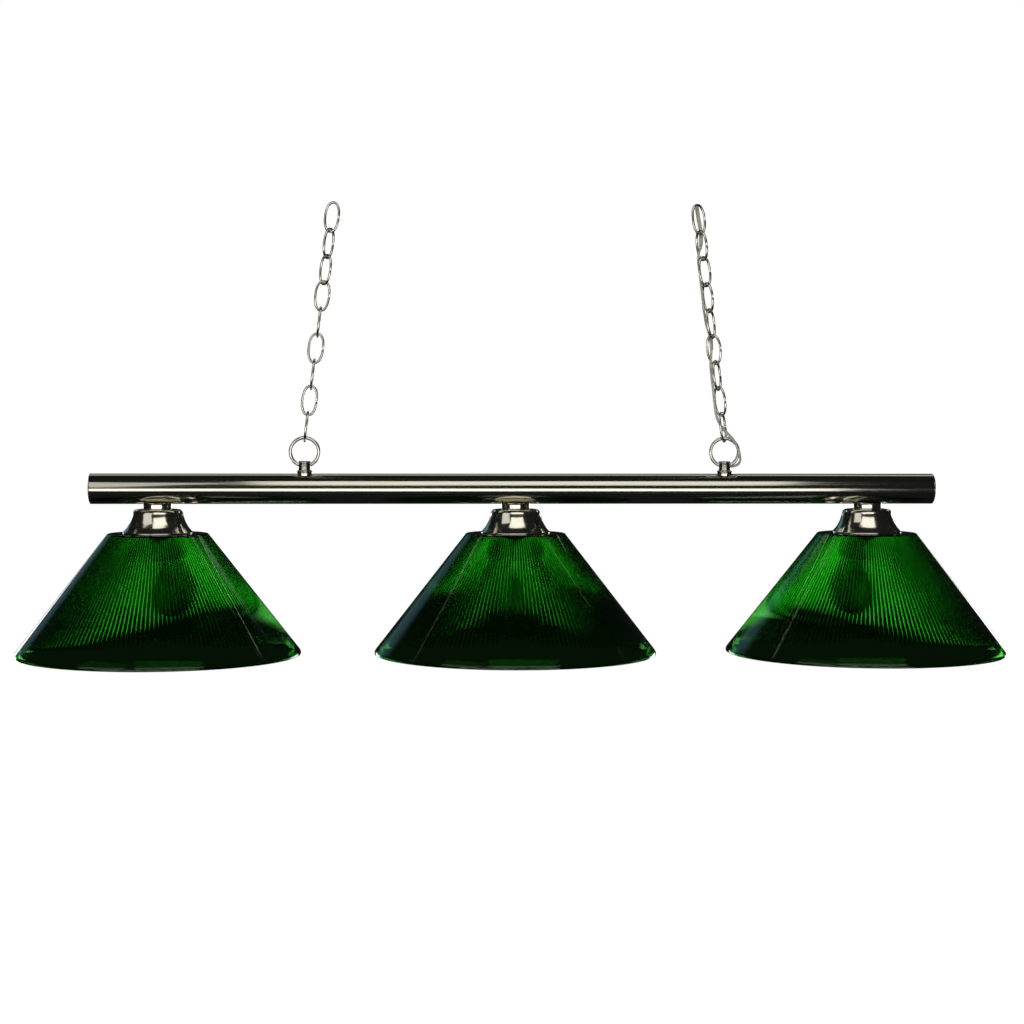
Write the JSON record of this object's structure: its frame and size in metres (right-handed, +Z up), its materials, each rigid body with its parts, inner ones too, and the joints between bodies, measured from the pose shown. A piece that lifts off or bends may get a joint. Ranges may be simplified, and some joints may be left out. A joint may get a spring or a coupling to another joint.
{
  "type": "pool table lamp",
  "caption": "Straight metal tube hung level on two chains, with conical plastic shades and bulbs in a row under it, to light a billiard table.",
  "frame": {"origin": "midway between the crowns of the two chains' top links, where two ceiling hooks hold them", "axes": "+Z up, +X along the tube to the right end, +Y to the back"},
  "size_m": [1.2516, 0.3556, 0.567],
  "materials": {
    "nickel": "brushed nickel plate",
    "zinc": "bright zinc plate",
    "acrylic": "polished dark green translucent acrylic, ribbed inside",
    "phenolic": "black moulded phenolic",
    "glass": "frosted",
    "shell": "rolled screw shell",
    "cord": "clear insulation over bright strands",
    "lead": "insulated leads and wire nuts"
  },
  "bodies": {
    "ceiling_links": {"left_link_9": "nickel", "right_link_9": "nickel", "supply_cord_top": "cord"},
    "upper_links": {"left_link_8": "nickel", "right_link_8": "nickel"},
    "right_chain": {"right_link_7": "nickel", "right_link_6": "nickel", "right_link_5": "nickel", "right_link_4": "nickel", "right_link_3": "nickel", "right_link_2": "nickel", "supply_cord_upper": "cord"},
    "left_chain": {"left_link_7": "nickel", "left_link_6": "nickel", "left_link_5": "nickel", "left_link_4": "nickel", "left_link_3": "nickel", "left_link_2": "nickel"},
    "right_link_1": {"right_link_1": "nickel"},
    "left_link_1": {"left_link_1": "nickel"},
    "lamp": {"bar_tube": "nickel", "left_end_cap": "nickel", "right_end_cap": "nickel", "left_hanger_loop": "nickel", "right_hanger_loop": "nickel", "left_loop_nipple": "zinc", "right_loop_nipple": "zinc", "left_loop_nut": "zinc", "right_loop_nut": "zinc", "left_lock_nut": "zinc", "left_nipple": "zinc", "left_collar": "nickel", "left_bell": "nickel", "left_socket": "phenolic", "left_shade": "acrylic", "left_shade_ring": "phenolic", "middle_lock_nut": "zinc", "middle_nipple": "zinc", "middle_collar": "nickel", "middle_bell": "nickel", "middle_socket": "phenolic", "middle_shade": "acrylic", "middle_shade_ring": "phenolic", "right_lock_nut": "zinc", "right_nipple": "zinc", "right_collar": "nickel", "right_bell": "nickel", "right_socket": "phenolic", "right_shade": "acrylic", "right_shade_ring": "phenolic", "wire_harness": "lead", "front_wire_nut": "lead", "rear_wire_nut": "lead", "supply_cord_lower": "cord"},
    "left_bulb": {"left_bulb_glass": "glass", "left_bulb_base": "shell"},
    "middle_bulb": {"middle_bulb_glass": "glass", "middle_bulb_base": "shell"},
    "right_bulb": {"right_bulb_glass": "glass", "right_bulb_base": "shell"}
  },
  "joints": [
    {"name": "chain_swing", "type": "hinge", "parent": "ceiling_links", "child": "upper_links", "pos_m": [0, 0, -0.03598], "axis": [1, 0, 0], "range_deg": [-15, 15], "deforming": ["supply_cord_top"]},
    {"name": "right_sway", "type": "hinge", "parent": "upper_links", "child": "right_chain", "pos_m": [0.23632, 0, -0.06863], "axis": [0, 1, 0], "range_deg": [-6, 6], "deforming": ["supply_cord_upper"]},
    {"name": "left_sway", "type": "hinge", "parent": "upper_links", "child": "left_chain", "pos_m": [-0.23632, 0, -0.06863], "axis": [0, 1, 0], "range_deg": [-6.1, 6.1]},
    {"name": "right_level", "type": "hinge", "parent": "right_chain", "child": "right_link_1", "pos_m": [0.26072, 0, -0.26452], "axis": [0, 1, 0], "range_deg": [-5.6, 5.6]},
    {"name": "left_level", "type": "hinge", "parent": "left_chain", "child": "left_link_1", "pos_m": [-0.26072, 0, -0.26452], "axis": [0, 1, 0], "range_deg": [-5.6, 5.6]},
    {"name": "lamp_tilt", "type": "hinge", "parent": "right_link_1", "child": "lamp", "pos_m": [0.265, 0, -0.29485], "axis": [1, 0, 0], "range_deg": [-15, 15], "deforming": ["supply_cord_lower"]},
    {"name": "left_bulb_out", "type": "slide", "parent": "lamp", "child": "left_bulb", "axis": [0, 0, -1], "range_m": [0, 0.16]},
    {"name": "middle_bulb_out", "type": "slide", "parent": "lamp", "child": "middle_bulb", "axis": [0, 0, -1], "range_m": [0, 0.16]},
    {"name": "right_bulb_out", "type": "slide", "parent": "lamp", "child": "right_bulb", "axis": [0, 0, -1], "range_m": [0, 0.16]}
  ],
  "couplings": [
    {"joint": "left_sway", "follows": "right_sway", "ratio": 1},
    {"joint": "right_level", "follows": "right_sway", "ratio": -0.9064},
    {"joint": "left_level", "follows": "right_sway", "ratio": -0.9064}
  ]
}
